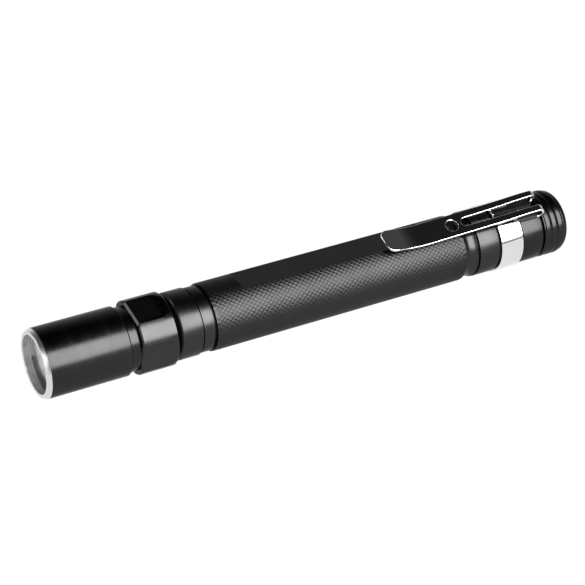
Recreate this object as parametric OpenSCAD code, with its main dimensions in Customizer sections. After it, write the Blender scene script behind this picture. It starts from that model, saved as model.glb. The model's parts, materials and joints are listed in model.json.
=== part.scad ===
// Two-cell penlight with a knurled tube, a sprung pocket clip and a tail push button.
// The light lies level: +X runs from the lens to the tail, +Z is up.
// Stations are counted from the front rim and the finished part is then centred on X.

/* [Bezel and lens] */
// Length of the bright chamfer on the bezel
bezel_chamfer_l = 0.89; // [0.5:0.01:1.5]
// Radial width of the bright chamfer
bezel_chamfer_w = 0.68; // [0.3:0.01:0.9]
// Radial width of the lip that holds the lens
bezel_lip_w = 0.2; // [0.1:0.02:0.4]
// Depth of the lip that holds the lens
bezel_lip_l = 1.6; // [0.8:0.1:2.5]
// Wall of the bezel skirt around the lens
bezel_skirt_wall = 0.37; // [0.25:0.01:0.5]
// Length of the bezel thread behind the lens
bezel_thread_l = 1.2; // [0.6:0.1:1.8]
// Thickness of the lens
lens_t = 1.4; // [1:0.1:2.5]
// Thickness of the lens seal
lens_seal_d = 0.8; // [0.5:0.05:1]

/* [Head] */
// Diameter of the bore for the reflector and the pill
head_bore_d = 13; // [12:0.05:14]
// Wall of the head barrel around that bore
head_wall = 1.08; // [0.9:0.02:1.5]
// Wall of the head barrel around the bezel thread
bezel_wall = 0.58; // [0.4:0.02:0.7]
// Length of the head barrel behind the bezel
head_l = 18.06; // [16:0.02:20]
// Bevel at the rear edge of the barrel
head_bevel = 0.25; // [0.1:0.05:0.4]
// Length of the groove between barrel and collar
neck_groove_l = 2.25; // [1:0.05:3]
// Depth of the groove between barrel and collar
neck_groove_depth = 0.53; // [0.2:0.01:0.6]
// Width of the ledge that stops the pill
pill_ledge_w = 0.3; // [0.2:0.05:0.5]
// Length of the collar
collar_l = 8.45; // [7:0.05:10]
// Wall of the collar around the tube's front thread
collar_wall = 1.72; // [1.4:0.02:2.2]
// Bevel at the front edge of the collar
collar_front_bevel = 0.3; // [0.1:0.05:0.5]
// Bevel at the rear edge of the collar
collar_rear_bevel = 0.4; // [0.1:0.05:0.6]
// Number of flats milled into the collar
collar_flats = 4; // [3:1:6]
// Depth of the flats at their middle
collar_flat_depth = 0.9; // [0.4:0.05:1]
// Length of the flats from the front edge of the collar
collar_flat_l = 5.85; // [4:0.05:8]
// Turn of the first flat away from straight up
collar_roll = 12.5; // [0:0.5:45]

/* [Light engine] */
// Depth of the reflector
reflector_l = 8.6; // [6:0.1:9.5]
// Width of the reflector's flat rim
reflector_rim_w = 0.45; // [0.3:0.05:0.8]
// Length of the straight rim on the outside of the reflector
reflector_rim_l = 2; // [1:0.1:3]
// Depth of the hole at the base of the reflector
reflector_base_t = 1.2; // [0.8:0.1:2]
// Width of the flat around the hole at the base of the reflector
reflector_foot_w = 1.4; // [0.8:0.1:1.6]
// Side of the square light source
led_side = 3.45; // [2.5:0.05:3.5]
// Height of the base of the light source
led_base_t = 0.7; // [0.4:0.05:1]
// Diameter of the dome of the light source
led_dome_d = 2.6; // [1.6:0.1:3]
// Thickness of the centring gasket
gasket_t = 0.4; // [0.2:0.05:0.6]
// Thickness of the board under the light source
led_board_t = 1.2; // [0.8:0.1:1.6]
// Length of the heat pill
pill_l = 4.5; // [4:0.1:6]
// Floor of the heat pill
pill_floor_t = 1.6; // [1:0.1:2]
// Wall of the heat pill around the driver
pill_wall = 0.9; // [0.6:0.05:1.2]
// Thickness of the driver board
driver_t = 1.2; // [0.8:0.1:1.4]
// Diameter of the two leads
lead_d = 0.7; // [0.4:0.05:0.9]
// Distance of each lead from the axis
lead_offset = 3.4; // [3:0.1:4]
// Width of the ledge under the driver board
driver_ledge_w = 0.4; // [0.2:0.05:0.8]
// Diameter of the coil on the driver board
inductor_d = 2.8; // [2:0.1:3]
// Distance of the coil on the driver board from the axis
inductor_offset = 2; // [1.8:0.1:2.4]
// Width of the chip on the driver board
chip_w = 2.6; // [1.5:0.1:3]
// Height of the chip on the driver board
chip_h = 2.2; // [1.5:0.1:3]
// Distance of the chip on the driver board from the axis
chip_offset = 1; // [0.8:0.1:1.4]

/* [Cells] */
// Diameter of one cell
cell_d = 10.5; // [10:0.05:10.6]
// Length of one cell with its nub
cell_l = 44.5; // [40:0.1:50]
// Radius of the tail contact spring
tail_spring_r = 3.65; // [2.5:0.05:3.9]
// Diameter of the nub of a cell
nub_d = 3.8; // [3:0.1:5]
// Length of the nub of a cell
nub_l = 1; // [0.6:0.1:1.5]
// Length of the front contact spring
front_spring_l = 5.4; // [4.6:0.1:7]
// Turns of the front contact spring
front_spring_turns = 4; // [3:1:6]
// Length of the tail contact spring
tail_spring_l = 8.2; // [6:0.1:9]
// Turns of the tail contact spring
tail_spring_turns = 5; // [4:1:7]
// Diameter of the wire of the two contact springs
contact_wire_d = 0.5; // [0.3:0.05:0.6]

/* [Body tube] */
// Wall of the tube under the knurl
body_wall = 2.15; // [1.8:0.05:2.6]
// Gap between the collar and the tube's shoulder
head_gap = 0.5; // [0.2:0.05:1]
// Length of the front ring of the tube
front_ring_l = 4.96; // [3:0.02:7]
// Step down from the knurl to the front ring
front_ring_drop = 0.08; // [0.02:0.01:0.2]
// Length of the recess behind the front ring
recess_l = 3.4; // [2:0.05:5]
// Step down from the knurl to the recess
recess_drop = 0.34; // [0.2:0.01:0.5]
// Distance from the recess to the smooth flat
flat_start = 8.03; // [4:0.01:12]
// Distance from the smooth flat to the groove behind the knurl
flat_rest = 7.9; // [4:0.05:14]
// Depth of the smooth flat at its middle
flat_depth = 1; // [0.5:0.05:1.3]
// Length of the groove behind the knurl
rear_groove_l = 3.7; // [2:0.05:5]
// Depth of the groove behind the knurl
rear_groove_depth = 0.5; // [0.2:0.05:0.7]
// Length of the rear ring of the tube
rear_ring_l = 5.1; // [3:0.05:7]
// Step down from the knurl to the rear ring
rear_ring_drop = 0.05; // [0.02:0.01:0.2]
// Step down from the rear ring to the edge of the groove
rear_groove_drop = 0.1; // [0.05:0.01:0.15]
// Wall of the tube at its front thread
front_thread_wall = 0.95; // [0.85:0.01:1.1]
// Length of the front thread of the tube
front_thread_l = 7.05; // [5:0.05:7.5]
// Wall of the tube under the clip band
clip_seat_wall = 1.6; // [1.3:0.02:1.7]
// Wall of the tube at its tail thread
tail_thread_wall = 1.15; // [0.95:0.01:1.2]
// Length of the tail thread of the tube
tail_thread_l = 4.2; // [3.5:0.05:5]
// Pitch of the tail thread
thread_pitch = 0.75; // [0.5:0.05:1]
// Depth of the tail thread
thread_depth = 0.28; // [0.15:0.01:0.35]
// Width of the flat at the root of the tail thread
thread_root_w = 0.15; // [0.05:0.01:0.2]
// Thickness of the two tube seals
tube_seal_d = 0.6; // [0.4:0.05:0.65]

/* [Clip] */
// Thickness of the clip's sheet
clip_t = 0.76; // [0.6:0.02:0.9]
// Width of the clip band along the light
clip_band_w = 5.75; // [4:0.05:7]
// Width of the clip arm
clip_w = 5.9; // [5:0.05:7]
// Turn of the clip away from straight up
clip_roll = 24.5; // [0:0.5:60]
// Distance from the band to the tip of the clip
clip_reach = 29.05; // [24:0.05:32]
// Length of the turned-up tip
tip_l = 8.4; // [5:0.05:10]
// Rise of the turned-up tip
tip_rise = 1.55; // [0.8:0.05:2.5]
// Corner radius of the tip
tip_corner_r = 1.3; // [0.6:0.1:2]
// Radius of the bend that presses on the tube
contact_bend_r = 6; // [3:0.5:10]
// Distance from the band to the end of the clip's return bend
return_reach = 7.5; // [6:0.05:8]
// Length of each lower leg's foot on the band
leg_foot_l = 1.15; // [0.8:0.05:1.5]
// Length over which each lower leg rises from the band
leg_rise_l = 2.3; // [1.8:0.05:2.4]
// Radius of the return bend in the middle of the sheet
return_bend_r = 0.72; // [0.6:0.02:1]
// Width of the slot between the two legs
slot_w = 2.3; // [1.5:0.05:3]
// Distance from the band to the front end of the slot
slot_reach = 8.85; // [6:0.05:10]
// Diameter of the hole in the arm
clip_hole_d = 3.2; // [2:0.1:4]
// Web between the slot and the hole
clip_web = 0.8; // [0.5:0.05:3]

/* [Tail cap] */
// Wall of the cap around the tail thread
cap_wall = 0.84; // [0.75:0.01:1.1]
// Length of the smooth skirt
skirt_l = 5.45; // [4.5:0.05:5.8]
// Bevel at the front edge of the skirt
skirt_bevel = 0.25; // [0.1:0.05:0.4]
// Width of the narrow groove behind the skirt
cap_groove_l = 0.6; // [0.3:0.05:0.9]
// Depth of the narrow groove behind the skirt
cap_groove_depth = 0.55; // [0.2:0.05:0.6]
// Plain land between the groove and the ridges
cap_land_l = 0.4; // [0.2:0.05:0.6]
// Number of finger ridges
ridge_count = 3; // [2:1:3]
// Distance between two finger ridges
ridge_pitch = 1.6; // [1.2:0.05:1.7]
// Height of the finger ridges
ridge_rise = 0.3; // [0.1:0.02:0.4]
// Thickness of the end wall of the cap
end_wall_t = 1.35; // [1:0.05:2]
// Width of the ledge that the contact board rests on
chamber_ledge_w = 0.46; // [0.3:0.02:0.6]

/* [Switch and button] */
// Length of the ring that holds the switch
retainer_l = 1; // [0.8:0.1:1.5]
// Radial width of the ring that holds the switch
retainer_w = 2.13; // [1.5:0.01:2.4]
// Thickness of the contact board
contact_board_t = 0.8; // [0.6:0.05:1.2]
// Length of the switch housing
switch_l = 3; // [2.8:0.05:4]
// Thickness of the floor of the switch housing
switch_floor_t = 0.8; // [0.5:0.05:1]
// Diameter of the spring well in the switch housing
spring_well_d = 6.2; // [5.8:0.05:7]
// Turns of the switch spring
switch_spring_turns = 4; // [3:1:5]
// Diameter of the wire of the switch spring
switch_wire_d = 0.36; // [0.2:0.02:0.4]
// Diameter of the plunger
plunger_d = 3; // [2.4:0.05:3.1]
// Wall of the guide around the plunger
guide_wall = 0.42; // [0.3:0.02:0.5]
// Diameter of the button
button_d = 8.4; // [7:0.05:9]
// Height of the button above the end of the cap
button_proud = 0.6; // [0.3:0.05:1]
// Edge radius of the button
button_edge_r = 0.45; // [0.2:0.05:0.5]
// Thickness of the button's flange
flange_t = 0.6; // [0.4:0.05:1]
// Play of the button's flange in the chamber
flange_play = 0.55; // [0.2:0.05:0.8]
// Travel of the button
button_travel = 1.5; // [1:0.05:1.6]

/* [Clearances] */
// Radial play of a screwed or pushed-in piece
thread_play = 0.03; // [0.02:0.01:0.06]
// Radial play of a piece that turns or slides
running_play = 0.06; // [0.03:0.01:0.1]
// Play of a loose piece in its place
loose_play = 0.1; // [0.05:0.01:0.12]
// Gap between the clip band and the tube's shoulder
band_front_gap = 0.45; // [0.1:0.05:0.8]
// Gap between pieces that move past each other
moving_gap = 0.15; // [0.12:0.01:0.2]

/* [Hidden] */
$fn = 96;

// Facets round a small piece, and steps along a curve in a profile
small_facets = 32;
curve_steps = 10;

// Sides of a spring's wire, and steps in one of its turns
wire_sides = 6;
turn_steps = 10;

// Stations along the head, from the front rim
lens_end = bezel_lip_l + lens_t;
reflector_start = lens_end + lens_seal_d;
bezel_skirt_end = lens_end + bezel_thread_l;
reflector_end = reflector_start + reflector_l;
led_board_start = reflector_end + gasket_t;
pill_start = led_board_start + led_board_t;
pill_end = pill_start + pill_l;
driver_start = pill_end - driver_t;
barrel_end = bezel_chamfer_l + head_l;
collar_start = barrel_end + neck_groove_l;
collar_end = collar_start + collar_l;

// Stations of the cells and the tail, worked back from the contents of the tube
front_cell_start = pill_end + front_spring_l;
rear_cell_start = front_cell_start + cell_l;
cells_end = rear_cell_start + cell_l;
contact_board_start = cells_end + tail_spring_l;
retainer_start = contact_board_start - retainer_l;
tube_end = retainer_start - 2 * loose_play;
cap_start = tube_end - tail_thread_l;
band_end = cap_start - moving_gap;
band_start = band_end - clip_band_w;
switch_start = contact_board_start + contact_board_t;
switch_end = switch_start + switch_l;
flange_start = switch_end + loose_play + button_travel;
chamber_end = flange_start + flange_t + loose_play;
cap_end = chamber_end + end_wall_t;
total_l = cap_end + button_proud;

// Stations along the outside of the tube
tube_start = collar_end + head_gap;
front_thread_start = tube_start - front_thread_l;
front_ring_end = tube_start + front_ring_l;
grip_start = front_ring_end + recess_l;
rear_ring_end = band_start - band_front_gap;
rear_ring_start = rear_ring_end - rear_ring_l;
grip_end = rear_ring_start - rear_groove_l;
tail_seal_start = cap_start + tube_seal_d;
thread_start = tail_seal_start + 2 * tube_seal_d;
front_seal_start = collar_end - 2 * tube_seal_d;

// Radii of the head, from its bore outwards and inwards
head_bore_r = head_bore_d / 2;
head_r = head_bore_r + head_wall;
bezel_bore_r = head_r - bezel_wall;
bezel_thread_r = bezel_bore_r - thread_play;
lens_pocket_r = bezel_thread_r - bezel_skirt_wall;
bezel_opening_r = lens_pocket_r - bezel_lip_w;
neck_groove_r = head_r - neck_groove_depth;
pill_r = head_bore_r - thread_play;
driver_r = pill_r - pill_wall - thread_play;
reflector_hole_r = led_side * sqrt(2) / 2 + loose_play;

// Radii of the tube and the cap, from the cells outwards
tube_bore_r = cell_d / 2 + loose_play;
body_r = tube_bore_r + body_wall;
front_thread_r = tube_bore_r + front_thread_wall;
collar_bore_r = front_thread_r + thread_play;
collar_r = collar_bore_r + collar_wall;
clip_seat_r = tube_bore_r + clip_seat_wall;
band_inner_r = clip_seat_r + running_play;
band_outer_r = band_inner_r + clip_t;
tail_thread_r = tube_bore_r + tail_thread_wall;
cap_bore_r = tail_thread_r + running_play;
cap_r = cap_bore_r + cap_wall;
chamber_r = cap_bore_r - chamber_ledge_w;
switch_r = chamber_r - loose_play;

// Length by which a cut runs past the face that it opens
overcut = 1;

// Height of the axis above the table, set by the widest ring
axis_h = max(collar_r, head_r, body_r, band_outer_r);

// Points on a circular arc, given as centre, radius and two angles
function arc(c, r, a0, a1) =
    [for (i = [0:curve_steps]) let (a = a0 + (a1 - a0) * i / curve_steps) c + r * [cos(a), sin(a)]];

// Points of a shallow bulge that rises or sinks between two stations, as [radius, station]
function bulge(r, x0, x1, rise) =
    let (w = (x1 - x0) / 2, rad = (w * w + rise * rise) / (2 * abs(rise)), a = asin(w / rad), s = sign(rise))
    [for (i = [0:curve_steps]) let (t = -a + 2 * a * i / curve_steps)
        [r + rise - s * rad * (1 - cos(t)), (x0 + x1) / 2 + rad * sin(t)]];

// Unit vector from one point to another
function along(a, b) = (b - a) / norm(b - a);

// A corner between three points, rounded with a radius
function rounded(a, b, c, r) =
    let (
        u = along(b, a), v = along(b, c),
        half = acos(u * v) / 2,
        reach = r / tan(half),
        centre = b + along([0, 0], u + v) * r / sin(half),
        p = b + u * reach - centre,
        q = b + v * reach - centre,
        a0 = atan2(p[1], p[0]),
        turn = (atan2(q[1], q[0]) - a0 + 540) % 360 - 180
    )
    arc(centre, r, a0, a0 + turn);

// Outline of a sheet of even thickness that follows a path
function path_normal(p, i) =
    let (d = along(p[max(i - 1, 0)], p[min(i + 1, len(p) - 1)])) [-d[1], d[0]];
function sheet_outline(p, t) = concat(
    [for (i = [0:len(p) - 1]) p[i] + path_normal(p, i) * t / 2],
    [for (i = [len(p) - 1:-1:0]) p[i] - path_normal(p, i) * t / 2]
);

// Places a piece that was drawn along +X from the front rim
module placed() {
    translate([-total_l / 2, 0, axis_h]) children();
}

// Turns a profile of [radius, station] points about the light's axis
module turned(points) {
    placed() rotate([0, 90, 0]) rotate_extrude() polygon(points);
}

// A plain ring or disc between two stations
module ring(x0, x1, r_out, r_in = 0) {
    turned([[r_in, x0], [r_out, x0], [r_out, x1], [r_in, x1]]);
}

// A round seal that fills its groove from the inside
module seal(r_out, x0, d) {
    placed() rotate([0, 90, 0]) rotate_extrude()
        translate([r_out - d / 2, x0 + d / 2]) circle(d = d, $fn = small_facets);
}

// A wound wire spring between two stations
module coil(x0, x1, r, wire_r, turns) {
    sides = wire_sides;
    steps = turn_steps * turns;
    rise = x1 - x0 - 2 * wire_r;
    points = [for (i = [0:steps]) let (a = 360 * turns * i / steps, x = x0 + wire_r + rise * i / steps)
        for (k = [0:sides - 1]) let (b = 360 * k / sides, rr = r + wire_r * cos(b))
            [x + wire_r * sin(b), rr * sin(a), rr * cos(a)]];
    sheath = [for (i = [0:steps - 1], k = [0:sides - 1])
        let (a = i * sides + k, b = i * sides + (k + 1) % sides)
        each [[a, b, b + sides], [a, b + sides, a + sides]]];
    first = [for (k = [1:sides - 2]) [0, k + 1, k]];
    last = [for (k = [1:sides - 2]) let (e = steps * sides) [e, e + k, e + k + 1]];
    placed() polyhedron(points, concat(sheath, first, last));
}

// Bright front ring that screws into the head and holds the lens
module bezel_ring() color("silver") turned([
    [bezel_opening_r, 0],
    [head_r - bezel_chamfer_w, 0],
    [head_r, bezel_chamfer_l],
    [bezel_thread_r, bezel_chamfer_l],
    [bezel_thread_r, bezel_skirt_end],
    [lens_pocket_r, bezel_skirt_end],
    [lens_pocket_r, bezel_lip_l],
    [bezel_opening_r, bezel_lip_l]
]);

module lens() color("lightcyan", 0.4) ring(bezel_lip_l, lens_end, lens_pocket_r - thread_play);

module lens_seal() color("dimgray") seal(lens_pocket_r - loose_play, lens_end, lens_seal_d);

// Parabolic cup, open at its base for the light source
reflector_r = min(pill_r, lens_pocket_r) - thread_play;
cup_rim_r = reflector_r - reflector_rim_w;
cup_l = reflector_l - reflector_base_t;
cup_depth = cup_l * pow(cup_rim_r, 2) / (pow(cup_rim_r, 2) - pow(reflector_hole_r, 2));
reflector_foot_r = reflector_hole_r + reflector_foot_w;
module reflector() {
    cup = [for (i = [0:curve_steps]) let (x = cup_l * i / curve_steps)
        [cup_rim_r * sqrt(1 - x / cup_depth), reflector_start + x]];
    color("gainsboro") turned(concat(
        cup,
        [[reflector_hole_r, reflector_end], [reflector_foot_r, reflector_end]],
        [[reflector_r, reflector_start + reflector_rim_l], [reflector_r, reflector_start]]
    ));
}

// Square base with a clear dome that faces the lens
module led_emitter() {
    base_start = led_board_start - led_base_t;
    color("khaki") placed() {
        translate([base_start, -led_side / 2, -led_side / 2]) cube([led_base_t, led_side, led_side]);
        intersection() {
            translate([base_start, 0, 0]) sphere(d = led_dome_d);
            translate([base_start - led_dome_d, -led_dome_d, -led_dome_d])
                cube([led_dome_d + led_base_t / 2, 2 * led_dome_d, 2 * led_dome_d]);
        }
    }
}

// Insulating disc that centres the light source under the reflector
module centring_gasket() {
    hole = led_side + 2 * loose_play;
    color("white") difference() {
        ring(reflector_end, led_board_start, reflector_foot_r);
        placed() translate([reflector_end - overcut, -hole / 2, -hole / 2])
            cube([gasket_t + 2 * overcut, hole, hole]);
    }
}

module led_board() color("whitesmoke") ring(led_board_start, pill_start, pill_r);

// Cup that carries the heat from the board to the head and holds the driver
module heat_pill() {
    driver_seat_r = driver_r + thread_play;
    ledge_r = driver_r - driver_ledge_w;
    color("goldenrod") difference() {
        turned([
            [0, pill_start], [pill_r, pill_start], [pill_r, pill_end], [driver_seat_r, pill_end],
            [driver_seat_r, driver_start], [ledge_r, driver_start],
            [ledge_r, pill_start + pill_floor_t], [0, pill_start + pill_floor_t]
        ]);
        lead_pair(pill_start - overcut, driver_start, lead_d + 2 * loose_play);
    }
}

// Two round bars beside the axis, used for the leads and for their holes
module lead_pair(x0, x1, d) {
    for (side = [-1, 1])
        placed() translate([x0, side * lead_offset, 0]) rotate([0, 90, 0])
            cylinder(h = x1 - x0, d = d, $fn = small_facets);
}

module led_leads() color("crimson") lead_pair(pill_start, driver_start, lead_d);

// Round board with a coil and a chip on its front side
module driver_board() {
    room = driver_start - pill_start - pill_floor_t - 2 * loose_play;
    color("darkgreen") {
        ring(driver_start, pill_end, driver_r);
        placed() translate([driver_start - room, 0, 0]) {
            translate([0, 0, inductor_offset]) rotate([0, 90, 0])
                cylinder(h = room, d = inductor_d, $fn = small_facets);
            translate([0, -chip_w / 2, -chip_h - chip_offset]) cube([room, chip_w, chip_h]);
        }
    }
}

// Barrel, groove and flatted collar turned from one bar
module head_barrel() {
    thread_mouth = front_thread_start - head_gap;
    ledge_r = head_bore_r - pill_ledge_w;
    bezel_seat_end = bezel_skirt_end + loose_play;
    color("#1c1c1f") difference() {
        turned([
            [bezel_bore_r, bezel_chamfer_l],
            [head_r, bezel_chamfer_l],
            [head_r, barrel_end - head_bevel],
            [head_r - head_bevel, barrel_end],
            [neck_groove_r, barrel_end],
            [neck_groove_r, collar_start],
            [collar_r - collar_front_bevel, collar_start],
            [collar_r, collar_start + collar_front_bevel],
            [collar_r, collar_end - collar_rear_bevel],
            [collar_r - collar_rear_bevel, collar_end],
            [collar_bore_r, collar_end],
            [collar_bore_r, thread_mouth],
            [ledge_r, thread_mouth],
            [ledge_r, pill_end],
            [head_bore_r, pill_end],
            [head_bore_r, bezel_seat_end],
            [bezel_bore_r, bezel_seat_end]
        ]);
        for (i = [0:collar_flats - 1])
            placed() rotate([collar_roll + 360 * i / collar_flats, 0, 0])
                translate([collar_start - overcut, -collar_r, collar_r - collar_flat_depth])
                    cube([collar_flat_l + overcut, 2 * collar_r, collar_r]);
    }
}

module front_spring() color("gold")
    coil(pill_end, front_cell_start, nub_d / 2, contact_wire_d / 2, front_spring_turns);

module neck_seal() color("dimgray") seal(front_thread_r, front_seal_start, tube_seal_d);

// Grooves of the tail thread as [radius, station] points
thread_turns = floor((tube_end - thread_start - thread_pitch / 2) / thread_pitch);
thread_profile = [for (i = [0:thread_turns - 1]) let (x = thread_start + i * thread_pitch)
    each [
        [tail_thread_r, x],
        [tail_thread_r - thread_depth, x + (thread_pitch - thread_root_w) / 2],
        [tail_thread_r - thread_depth, x + (thread_pitch + thread_root_w) / 2],
        [tail_thread_r, x + thread_pitch]
    ]];

// Groove for a round seal in a wall of radius r, as [radius, station] points
function seal_groove(r, x0) =
    let (bottom = r - tube_seal_d - thread_play, w = tube_seal_d + loose_play, x = x0 - loose_play / 2)
    [[r, x], [bottom, x], [bottom, x + w], [r, x + w]];

// Knurled tube with its rings, threads, clip seat and smooth flat
module body_tube() {
    front_ring_r = body_r - front_ring_drop;
    recess_r = body_r - recess_drop;
    rear_ring_r = body_r - rear_ring_drop;
    groove_r = rear_ring_r - rear_groove_drop;
    flat_l = grip_end - grip_start - flat_start - flat_rest;
    outside = concat(
        [[tube_bore_r, front_thread_start], [front_thread_r, front_thread_start]],
        seal_groove(front_thread_r, front_seal_start),
        [[front_thread_r, tube_start], [front_ring_r, tube_start], [front_ring_r, front_ring_end]],
        [[recess_r, front_ring_end], [recess_r, grip_start], [body_r, grip_start], [body_r, grip_end]],
        bulge(groove_r, grip_end, rear_ring_start, rear_groove_drop - rear_groove_depth),
        [[rear_ring_r, rear_ring_start], [rear_ring_r, rear_ring_end]],
        [[clip_seat_r, rear_ring_end], [clip_seat_r, band_end], [tail_thread_r, band_end]],
        seal_groove(tail_thread_r, tail_seal_start),
        thread_profile,
        [[tail_thread_r, tube_end], [tube_bore_r, tube_end]]
    );
    color("#1c1c1f") difference() {
        turned(outside);
        placed() translate([grip_start + flat_start, -body_r, body_r - flat_depth])
            cube([flat_l, 2 * body_r, body_r]);
    }
}

// One round cell with its nub towards the lens
module cell(x0) {
    turned([
        [0, x0], [nub_d / 2, x0], [nub_d / 2, x0 + nub_l], [cell_d / 2, x0 + nub_l],
        [cell_d / 2, x0 + cell_l], [0, x0 + cell_l]
    ]);
}

module front_cell() color("slategray") cell(front_cell_start);

module rear_cell() color("slategray") cell(rear_cell_start);

module tail_seal() color("dimgray") seal(tail_thread_r, tail_seal_start, tube_seal_d);

// Heights of the middle of the clip's sheet above the light's axis
leg_h = max(cap_r + moving_gap, band_inner_r) + clip_t / 2;
arm_h = leg_h + 2 * return_bend_r;
contact_h = body_r + loose_play + clip_t / 2;
over_band_h = band_outer_r + moving_gap + clip_t / 2;
bend_x = band_end + return_reach - return_bend_r - clip_t / 2;
tip_x = band_start - clip_reach;

// Turns a flat side outline of the clip into a sheet of the clip's width
module clip_sheet(points) {
    rotate([90, 0, 0]) translate([0, 0, -clip_w / 2]) linear_extrude(clip_w) polygon(points);
}

// The clip seen from above: rounded tip, hole and slot
module clip_plan() {
    far = bend_x + return_reach;
    difference() {
        union() {
            translate([tip_x + tip_corner_r, -clip_w / 2]) square([far - tip_x, clip_w]);
            translate([tip_x, tip_corner_r - clip_w / 2])
                square([2 * tip_corner_r, clip_w - 2 * tip_corner_r]);
            for (side = [-1, 1])
                translate([tip_x + tip_corner_r, side * (clip_w / 2 - tip_corner_r)]) circle(tip_corner_r);
        }
        translate([band_start - slot_reach, -slot_w / 2]) square([far, slot_w]);
        translate([band_start - slot_reach - clip_web - clip_hole_d / 2, 0]) circle(d = clip_hole_d);
    }
}

// Keeps the part of a clip sheet that lies inside the plan
module clip_cut() {
    placed() rotate([clip_roll, 0, 0]) intersection() {
        children();
        linear_extrude(2 * body_r) clip_plan();
    }
}

// Band around the tube with the two lower legs that run over the cap
module clip_band() {
    seat_h = band_inner_r + clip_t / 2;
    leg_path = [
        [band_end - leg_rise_l - leg_foot_l, seat_h],
        [band_end - leg_rise_l, seat_h],
        [band_end - moving_gap, leg_h],
        [bend_x - moving_gap, leg_h]
    ];
    color("gainsboro") {
        ring(band_start, band_end, band_outer_r, band_inner_r);
        clip_cut() clip_sheet(sheet_outline(leg_path, clip_t));
    }
}

// Sprung arm with its return bend, hole, slot and turned-up tip
module clip_arm() {
    contact = [tip_x + tip_l, contact_h];
    tip = [tip_x, contact_h + tip_rise];
    slope = (arm_h - contact_h) / (bend_x - contact[0]);
    knee = [band_start, max(contact_h + slope * (band_start - contact[0]), over_band_h)];
    path = concat(
        [tip],
        rounded(tip, contact, knee, contact_bend_r),
        [knee],
        arc([bend_x, (arm_h + leg_h) / 2], return_bend_r, 90, -90)
    );
    color("gainsboro") clip_cut() clip_sheet(sheet_outline(path, clip_t));
}

module tail_spring() color("gold")
    coil(cells_end, contact_board_start, tail_spring_r, contact_wire_d / 2, tail_spring_turns);

// Cap with a smooth skirt, finger ridges and a rounded end around the button
module tail_cap() {
    groove_start = cap_start + skirt_l;
    land_start = groove_start + cap_groove_l;
    ridges_start = land_start + cap_land_l;
    ridges_end = ridges_start + ridge_count * ridge_pitch;
    end_r = cap_end - ridges_end;
    valley_r = cap_r - ridge_rise;
    ridges = [for (i = [0:ridge_count - 1]) let (x = ridges_start + i * ridge_pitch)
        each bulge(valley_r, x, x + ridge_pitch, ridge_rise)];
    outside = concat(
        [[cap_bore_r, cap_start], [cap_r - skirt_bevel, cap_start], [cap_r, cap_start + skirt_bevel]],
        [[cap_r, groove_start], [cap_r - cap_groove_depth, groove_start]],
        [[cap_r - cap_groove_depth, land_start], [valley_r, land_start]],
        ridges,
        [for (p = arc([ridges_end, valley_r - end_r], end_r, 90, 0)) [p[1], p[0]]]
    );
    button_bore_r = button_d / 2 + loose_play;
    color("#1c1c1f") turned(concat(
        outside,
        [[button_bore_r, cap_end], [button_bore_r, chamber_end], [chamber_r, chamber_end]],
        [[chamber_r, contact_board_start], [cap_bore_r, contact_board_start]]
    ));
}

module retaining_ring() color("darkgoldenrod")
    ring(retainer_start, contact_board_start, cap_bore_r - thread_play, cap_bore_r - retainer_w);

module contact_board() color("darkgreen") ring(contact_board_start, switch_start, switch_r);

// Housing with a well for the return spring and a guide for the plunger
module switch_housing() {
    guide_r = plunger_d / 2 + running_play;
    floor_end = switch_start + switch_floor_t;
    color("ivory") turned([
        [guide_r, switch_start], [switch_r, switch_start], [switch_r, switch_end],
        [spring_well_d / 2, switch_end], [spring_well_d / 2, floor_end],
        [guide_r + guide_wall, floor_end], [guide_r + guide_wall, switch_end - loose_play],
        [guide_r, switch_end - loose_play]
    ]);
}

module switch_spring() {
    guide_outer_r = plunger_d / 2 + running_play + guide_wall;
    color("silver") coil(switch_start + switch_floor_t, flange_start,
        (guide_outer_r + spring_well_d / 2) / 2, switch_wire_d / 2, switch_spring_turns);
}

module switch_plunger() color("firebrick")
    ring(switch_start + button_travel + loose_play, flange_start, plunger_d / 2);

// Soft button with a flange that stops it behind the end wall
module tail_button() {
    r = button_d / 2;
    flange_r = chamber_r - flange_play;
    top = arc([total_l - button_edge_r, r - button_edge_r], button_edge_r, 90, 0);
    color("#26262a") turned(concat(
        [[0, flange_start], [flange_r, flange_start], [flange_r, flange_start + flange_t]],
        [[r, flange_start + flange_t]],
        [for (p = top) [p[1], p[0]]],
        [[0, total_l]]
    ));
}

bezel_ring();
lens();
lens_seal();
reflector();
led_emitter();
centring_gasket();
led_board();
heat_pill();
led_leads();
driver_board();
head_barrel();
front_spring();
neck_seal();
body_tube();
front_cell();
rear_cell();
tail_seal();
clip_band();
clip_arm();
tail_spring();
tail_cap();
retaining_ring();
contact_board();
switch_housing();
switch_spring();
switch_plunger();
tail_button();
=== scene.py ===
"""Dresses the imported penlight: turned head, knurled tube, chrome clip, bright bezel, lens and tail cap."""
import json
import math

import bmesh
import bpy
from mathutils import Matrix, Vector
from mathutils.geometry import delaunay_2d_cdt


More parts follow.
